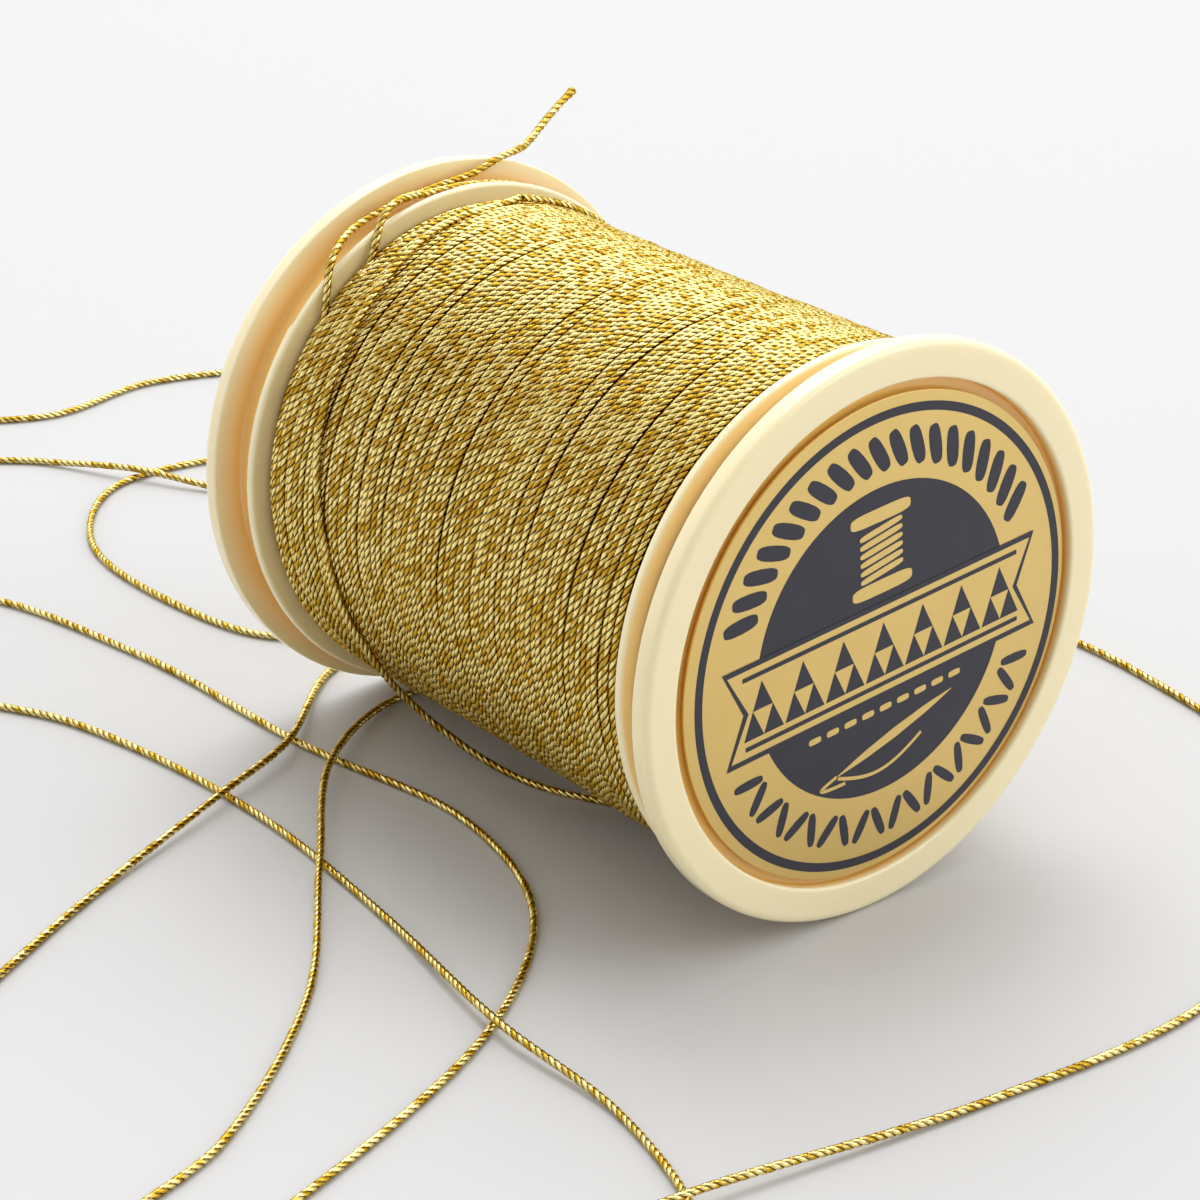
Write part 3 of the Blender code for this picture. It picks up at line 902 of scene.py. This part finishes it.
def band(shape, outside, inside):
    """A thin flat band between two outlines that have the same number of points."""
    rows = []
    for outline, level in ((outside, 1), (inside, 1), (inside, -1), (outside, -1)):
        rows.append([shape.verts.new((u * MM, v * MM, level * COAT / 2)) for u, v in outline])
    for row, after in zip(rows, rows[1:] + rows[:1]):
        for k in range(len(row)):
            shape.faces.new((row[k - 1], row[k], after[k], after[k - 1]))


def pen(shape, line, width):
    """A thin flat stroke along a line, as wide as the pen."""
    line = np.array(line, dtype=float)
    ahead = np.gradient(line, axis=0)
    ahead /= np.linalg.norm(ahead, axis=1)[:, None]
    aside = np.stack([-ahead[:, 1], ahead[:, 0]], axis=1) * width / 2
    left, right = line + aside, line - aside
    for k in range(len(line) - 1):
        plate(shape, [tuple(right[k]), tuple(right[k + 1]), tuple(left[k + 1]), tuple(left[k])])


print("outline helpers ready")

# %% [markdown]
# The dark coat has an outer ring, a centre disc and two arcs of embroidery stitches: slanted satin
# stitches above and feather stitches below. The gold coat is a patchwork ribbon across the middle,
# a spool above it, and a threaded needle with a row of running stitches below it. The fine dark
# coat edges the ribbon and draws its patches.

# %% The label's design
RING_OUT, RING_IN = 12.92, 12.42
DISC = 8.8
BAND_MIDDLE = 10.65
RIBBON_WIDE, RIBBON_HIGH, RIBBON_MIDDLE = 21.4, 5.0, -0.5


def dark_coat(shape):
    band(shape, circle(RING_OUT, steps=200), circle(RING_IN, steps=200))
    plate(shape, circle(DISC, steps=160))
    for degrees in np.arange(25.0, 156.0, 7.2):
        place = on_ring(BAND_MIDDLE, degrees)
        plate(shape, bar(place, 2.3, 0.86, math.radians(degrees + 28.0), 0.8))
    for degrees in np.arange(209.0, 335.0, 13.4):
        for lean, shift in ((-27.0, -3.35), (27.0, 3.35)):
            place = on_ring(BAND_MIDDLE, degrees + shift)
            plate(shape, bar(place, 1.95, 0.56, math.radians(degrees + lean), 0.8))


def ribbon(grow):
    """The ribbon's outline with its two notched ends, larger all round by grow."""
    half_wide, half_high = RIBBON_WIDE / 2 + grow, RIBBON_HIGH / 2 + grow
    notch = half_wide - 1.3
    return [
        (-half_wide, RIBBON_MIDDLE - half_high),
        (half_wide, RIBBON_MIDDLE - half_high),
        (notch, RIBBON_MIDDLE),
        (half_wide, RIBBON_MIDDLE + half_high),
        (-half_wide, RIBBON_MIDDLE + half_high),
        (-notch, RIBBON_MIDDLE),
    ]


def gold_coat(shape):
    plate(shape, ribbon(0.0))
    for level in (3.2, 7.3):
        plate(shape, bar((0.0, level), 4.2, 0.8, 0.0))
    for k in range(6):
        plate(shape, bar((0.0, 4.02 + 0.49 * k), 3.0, 0.36, math.radians(7)))
    for k in range(-4, 5):
        plate(shape, bar((1.25 * k, -3.95), 0.85, 0.36, 0.0))
    needle = math.radians(13)
    plate(shape, bar((0.6, -5.75), 8.6, 0.6, needle, 0.12))
    t = np.linspace(0.0, 1.2, 30)
    pen(shape, np.stack([-3.6 - 1.1 * np.sin(3.1 * t), -6.7 - 1.0 * t + 0.4 * t * t], axis=1), 0.2)
    t = np.linspace(0.0, 1.0, 40)
    sag = -6.85 - 0.9 * np.sin(math.pi * t) + 0.35 * t
    pen(shape, np.stack([-3.5 + 6.0 * t, sag], axis=1), 0.2)


def fine_coat(shape):
    band(shape, ribbon(0.3), ribbon(0.0))
    for side in (-1, 1):
        level = RIBBON_MIDDLE + side * (RIBBON_HIGH / 2 - 0.5)
        plate(shape, box((-9.7, level - 0.13), (9.7, level + 0.13)))
    patch = 2.7
    rise = 1.55
    for k in range(-3, 4):
        for shift, level in ((-patch / 4, -rise), (patch / 4, -rise), (0.0, 0.0)):
            middle = 1.04 * patch * k + shift
            foot = RIBBON_MIDDLE + level
            corners = [(middle - patch / 4, foot), (middle + patch / 4, foot), (middle, foot + rise)]
            plate(shape, corners)


def print_coat(name, design, lift, towards_rear):
    """One coat of ink on a label, the number of coats up."""
    mesh = bpy.data.meshes.new(name)
    shape = bmesh.new()
    design(shape)
    shape.to_mesh(mesh)
    shape.free()
    coat = bpy.data.objects.new(name, mesh)
    bpy.context.scene.collection.objects.link(coat)
    side = 1 if towards_rear else -1
    coat.location = (
        -side * PRINT_SHIFT[0],
        side * (LABEL_FACE + (lift - 0.45) * COAT),
        AXIS_HEIGHT + PRINT_SHIFT[1],
    )
    upright = Matrix.Rotation(math.pi / 2, 3, "X") @ Matrix.Rotation(PRINT_TURN, 3, "Z")
    facing = Matrix.Rotation(math.pi, 3, "Z") if towards_rear else Matrix.Identity(3)
    coat.rotation_euler = (facing @ upright).to_euler()
    return coat


prints = {"dark": [], "gold": [], "fine": []}
COATS = (("dark", dark_coat), ("gold", gold_coat), ("fine", fine_coat))
for end, towards_rear in (("front", False), ("rear", True)):
    for lift, (coat, design) in enumerate(COATS, 1):
        prints[coat].append(print_coat(f"{end}_{coat}_print", design, lift, towards_rear))
for pair in (papers, *prints.values()):
    for piece, node in zip(pair, ("front_label", "rear_label")):
        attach(piece, "root")
        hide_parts(node)
print("print:", {coat: len(pieces[0].data.polygons) for coat, pieces in prints.items()}, "faces")

# %% [markdown]
# ## Shared surface effects
#
# Two effects serve several materials, so each is a node group with its own inputs. Foil with painted
# glints and shade paints the glints into the colour, mixing a bright and a dull metal colour by how
# each stretch of foil catches the light, and paints shade into the creases. It reads both from the
# points of the thread, so the painted glints and shade follow the plies.

# %% Node group: foil with painted glints and shade
def new_group(name, inputs, outputs):
    group = bpy.data.node_groups.new(name, "ShaderNodeTree")
    for label, kind, value in inputs:
        socket = group.interface.new_socket(label, in_out="INPUT", socket_type=kind)
        socket.default_value = value
    for label, kind in outputs:
        group.interface.new_socket(label, in_out="OUTPUT", socket_type=kind)
    start = group.nodes.new("NodeGroupInput")
    end = group.nodes.new("NodeGroupOutput")
    return group, start, end


def join(tree, source, target):
    tree.links.new(source, target)


def mixed(tree, factor, low, high, kind="RGBA"):
    """A Mix node between two sockets; gives its result."""
    mix = tree.nodes.new("ShaderNodeMix")
    mix.data_type = kind
    for socket, source in (("Factor", factor), ("A", low), ("B", high)):
        join(tree, source, mix.inputs[socket])
    return mix.outputs["Result"]


def mapped(tree, value, ends, kind="LINEAR"):
    """A Map Range node with the ends given by name; gives its result."""
    remap = tree.nodes.new("ShaderNodeMapRange")
    remap.interpolation_type = kind
    for socket, number in ends.items():
        remap.inputs[socket].default_value = number
    join(tree, value, remap.inputs["Value"])
    return remap.outputs["Result"]


def kept(tree, name):
    """What each point keeps under a name."""
    attribute = tree.nodes.new("ShaderNodeAttribute")
    attribute.attribute_name = name
    return attribute.outputs["Fac"]


def noise(tree, scale, detail):
    """Noise over the piece's own coordinates, with its scale from a socket."""
    place = tree.nodes.new("ShaderNodeTexCoord")
    cloud = tree.nodes.new("ShaderNodeTexNoise")
    cloud.inputs["Detail"].default_value = detail
    join(tree, place.outputs["Object"], cloud.inputs["Vector"])
    join(tree, scale, cloud.inputs["Scale"])
    return cloud.outputs["Fac"]


SURFACE = [
    ("Color", "NodeSocketColor"),
    ("Roughness", "NodeSocketFloat"),
    ("Height", "NodeSocketFloat"),
]


def foil_with_painted_glints():
    """Colour and roughness of foil plies, with painted shade in their creases and a painted glint
    for each stretch.
    """
    group, start, end = new_group(
        "foil with painted glints and shade",
        [
            ("Bright", "NodeSocketColor", (0.9, 0.7, 0.3, 1.0)),
            ("Painted Dull Color", "NodeSocketColor", (0.4, 0.25, 0.05, 1.0)),
            ("Painted Crease Shade", "NodeSocketColor", (0.1, 0.05, 0.01, 1.0)),
            ("Painted Shade Strength", "NodeSocketFloat", 1.0),
            ("Crackle Scale", "NodeSocketFloat", 5000.0),
        ],
        SURFACE,
    )
    painted_glint = kept(group, "painted_glint")
    # Painted glints: stretches of foil that would catch the light get the bright colour.
    lit = mapped(group, painted_glint, {"From Min": 0.22, "From Max": 0.62}, "SMOOTHSTEP")
    foil = mixed(group, lit, start.outputs["Painted Dull Color"], start.outputs["Bright"])
    # Painted shade: the crease points are darkened towards the crease colour, as shade falls there.
    painted_crease_shade = mapped(group, kept(group, "painted_crease_shade"), {"From Min": 0.1, "From Max": 0.75}, "SMOOTHSTEP")
    depth = group.nodes.new("ShaderNodeMath")
    depth.operation = "MULTIPLY"
    depth.use_clamp = True
    join(group, painted_crease_shade, depth.inputs[0])
    join(group, start.outputs["Painted Shade Strength"], depth.inputs[1])
    shaded = mixed(group, depth.outputs[0], foil, start.outputs["Painted Crease Shade"])
    rough = mapped(group, painted_glint, {"To Min": 0.3, "To Max": 0.16})
    join(group, shaded, end.inputs["Color"])
    join(group, rough, end.inputs["Roughness"])
    join(group, noise(group, start.outputs["Crackle Scale"], 2.0), end.inputs["Height"])
    return group


FOIL = foil_with_painted_glints()
print("group:", FOIL.name, [s.name for s in FOIL.interface.items_tree])

# %% [markdown]
# Fine grain is a slow cloudiness for colour and roughness, as on paper or moulded plastic. It also
# paints an orange glow into the hollows of a piece that keeps a painted glow share on its points,
# and leaves the others alone.

# %% Node group: fine grain
def fine_grain():
    """Slow cloudiness between two colours, and a fine height for bump."""
    group, start, end = new_group(
        "fine grain",
        [
            ("Color A", "NodeSocketColor", (1.0, 1.0, 1.0, 1.0)),
            ("Color B", "NodeSocketColor", (0.8, 0.8, 0.8, 1.0)),
            ("Painted Glow Color", "NodeSocketColor", (0.8, 0.4, 0.1, 1.0)),
            ("Cloud Scale", "NodeSocketFloat", 200.0),
            ("Grain Scale", "NodeSocketFloat", 3000.0),
            ("Smoothest", "NodeSocketFloat", 0.2),
            ("Roughest", "NodeSocketFloat", 0.3),
        ],
        SURFACE,
    )
    cloud = noise(group, start.outputs["Cloud Scale"], 4.0)
    grain = noise(group, start.outputs["Grain Scale"], 2.0)
    tint = mixed(group, cloud, start.outputs["Color A"], start.outputs["Color B"])
    rough = mixed(group, grain, start.outputs["Smoothest"], start.outputs["Roughest"], "FLOAT")
    # Painted glow: the orange of light through the plastic is mixed into the hollows' colour.
    with_painted_glow = mixed(group, kept(group, "painted_glow"), tint, start.outputs["Painted Glow Color"])
    join(group, with_painted_glow, end.inputs["Color"])
    join(group, rough, end.inputs["Roughness"])
    join(group, grain, end.inputs["Height"])
    return group


GRAIN = fine_grain()
print("group:", GRAIN.name, [s.name for s in GRAIN.interface.items_tree])

# %% [markdown]
# ## Materials
#
# Every finish is a Principled shader fed by one of the groups. Values that are the same all over,
# such as metallic or coat, are set on the shader itself.

# %% Material helper
def finish(name, group, values, settings, bump):
    """A Principled material whose colour, roughness and bump come from a group."""
    made = bpy.data.materials.new(name)
    made.use_nodes = True
    tree = made.node_tree
    shader = tree.nodes["Principled BSDF"]
    for socket, value in settings.items():
        shader.inputs[socket].default_value = value
    effect = tree.nodes.new("ShaderNodeGroup")
    effect.node_tree = group
    for socket, value in values.items():
        effect.inputs[socket].default_value = value
    relief = tree.nodes.new("ShaderNodeBump")
    relief.inputs["Strength"].default_value = bump[0]
    relief.inputs["Distance"].default_value = bump[1]
    join(tree, effect.outputs["Color"], shader.inputs["Base Color"])
    join(tree, effect.outputs["Roughness"], shader.inputs["Roughness"])
    join(tree, effect.outputs["Height"], relief.inputs["Height"])
    join(tree, relief.outputs["Normal"], shader.inputs["Normal"])
    return made


def grained(colour, cloudy, scales, roughness):
    """Input values for the fine grain group."""
    return {
        "Color A": (*colour, 1.0),
        "Color B": (*cloudy, 1.0),
        "Cloud Scale": scales[0],
        "Grain Scale": scales[1],
        "Smoothest": roughness[0],
        "Roughest": roughness[1],
    }


def wear(material, *pieces):
    for piece in pieces:
        piece.data.materials.clear()
        piece.data.materials.append(material)


print("material helper ready")

# %% [markdown]
# Ivory plastic is milky: light goes about a millimetre into it and comes out warmer. Subsurface
# scattering with a long red path gives that. The orange glow of its hollows, where light has come
# through the most plastic, is painted into the colour as the grain group's painted glow.

# %% Ivory plastic
ivory = finish(
    "ivory plastic",
    GRAIN,
    {
        **grained((0.96, 0.85, 0.56), (0.95, 0.83, 0.53), (60.0, 1200.0), (0.2, 0.28)),
        # Painted orange glow for the hollows, where light comes through the plastic.
        "Painted Glow Color": (0.95, 0.58, 0.14, 1.0),
    },
    {
        "IOR": 1.5,
        "Subsurface Weight": 0.3,
        "Subsurface Radius": (1.0, 0.75, 0.35),
        "Subsurface Scale": 1.0 * MM,
        "Coat Weight": 0.5,
        "Coat Roughness": 0.08,
    },
    (0.05, 0.01 * MM),
)
wear(ivory, *caps, barrel)
print("ivory on", len(caps) + 1, "pieces")

# %% [markdown]
# The thread is gold-coloured film round a core. The loose thread and the wound thread are the same
# stuff, but the wound thread's creases get a deeper painted shade.

# %% Metallic thread
def gold_thread(name, painted_shade_strength):
    return finish(
        name,
        FOIL,
        {
            # Painted glint and dull colours of the foil.
            "Bright": (1.0, 0.84, 0.33, 1.0),
            "Painted Dull Color": (0.62, 0.38, 0.04, 1.0),
            # Painted shade of the creases.
            "Painted Crease Shade": (0.05, 0.016, 0.001, 1.0),
            "Painted Shade Strength": painted_shade_strength,
            "Crackle Scale": 6000.0,
        },
        {"Metallic": 1.0, "Specular Tint": (1.0, 0.72, 0.28, 1.0)},
        (0.35, 0.02 * MM),
    )


wound_gold = gold_thread("wound gold thread", 1.0)
loose_gold = gold_thread("loose gold thread", 0.9)
wear(wound_gold, *winding_turns, lower_layers)
wear(loose_gold, *loose_threads)
print("thread materials:", wound_gold.name, loose_gold.name)

# %% [markdown]
# The label paper is coated with a satin gold lacquer, and the dark print on it is a slightly
# glossy charcoal ink.

# %% Label finishes
SATIN = (0.3, 0.42)
label_gold = finish(
    "gold label paper",
    GRAIN,
    grained((0.80, 0.58, 0.20), (0.74, 0.52, 0.17), (300.0, 6000.0), SATIN),
    {"Metallic": 0.75, "Coat Weight": 0.2, "Coat Roughness": 0.2},
    (0.15, 0.01 * MM),
)
charcoal = finish(
    "charcoal ink",
    GRAIN,
    grained((0.020, 0.020, 0.032), (0.028, 0.028, 0.042), (400.0, 7000.0), SATIN),
    {"Specular IOR Level": 0.4},
    (0.1, 0.006 * MM),
)
wear(label_gold, *papers, *prints["gold"])
wear(charcoal, *prints["dark"], *prints["fine"])
print("label materials:", label_gold.name, charcoal.name)

# %% [markdown]
# ## Table and light
#
# The spool lies on a plain pale table, lit by a wide window behind it, a soft light overhead and
# a fill from the front right. Metal only looks like metal if it has something to mirror, so the
# surroundings run from bright above and behind to dimmer in front.

# %% Table
table_top = bpy.data.materials.new("white table")
table_top.use_nodes = True
shader = table_top.node_tree.nodes["Principled BSDF"]
shader.inputs["Base Color"].default_value = (0.575, 0.58, 0.59, 1.0)
shader.inputs["Roughness"].default_value = 0.6

bpy.ops.mesh.primitive_plane_add(size=8.0, location=(0.0, 0.0, 0.0))
table = bpy.context.object
table.name = "table"
wear(table_top, table)
print("table", [round(x, 1) for x in table.dimensions])

# %% Lights
def softbox(name, place, size, power, colour):
    light = bpy.data.lights.new(name, "AREA")
    light.shape = "RECTANGLE"
    light.size, light.size_y = size
    light.energy = power
    light.color = colour
    lamp = bpy.data.objects.new(name, light)
    lamp.location = place
    lamp.rotation_euler = (LOOK_AT - Vector(place)).to_track_quat("-Z", "Y").to_euler()
    bpy.context.scene.collection.objects.link(lamp)
    return lamp


softbox("window", (0.45, 0.65, 0.8), (0.7, 0.6), 2.0, (1.0, 0.99, 0.97))
softbox("overhead", (0.22, 0.2, 0.75), (0.5, 0.4), 2.2, (1.0, 1.0, 1.0))
softbox("fill", (0.55, -0.7, 0.55), (0.7, 0.5), 2.0, (1.0, 0.99, 0.97))

world = bpy.data.worlds.new("room")
bpy.context.scene.world = world
world.use_nodes = True
room, nodes = world.node_tree, world.node_tree.nodes
BRIGHT_SIDE = (1.2, 1.2, 1.21, 1.0)
DIM_SIDE = (0.5, 0.46, 0.41, 1.0)
way = nodes.new("ShaderNodeTexCoord")
towards_front = nodes.new("ShaderNodeVectorMath")
towards_front.operation = "DOT_PRODUCT"
towards_front.inputs[1].default_value = (-0.62, -0.66, 0.42)
join(room, way.outputs["Generated"], towards_front.inputs[0])
fall = nodes.new("ShaderNodeValToRGB")
stops = ((0.35, BRIGHT_SIDE), (0.85, DIM_SIDE))
for stop, (place, colour) in zip(fall.color_ramp.elements, stops):
    stop.position = place
    stop.color = colour
join(room, towards_front.outputs["Value"], fall.inputs["Fac"])
seen = nodes.new("ShaderNodeLightPath")
backdrop = nodes.new("ShaderNodeRGB")
backdrop.outputs["Color"].default_value = (0.85, 0.86, 0.88, 1.0)
shown = mixed(room, seen.outputs["Is Camera Ray"], fall.outputs["Color"], backdrop.outputs["Color"])
join(room, shown, nodes["Background"].inputs["Color"])
bpy.context.scene.view_settings.view_transform = "Standard"
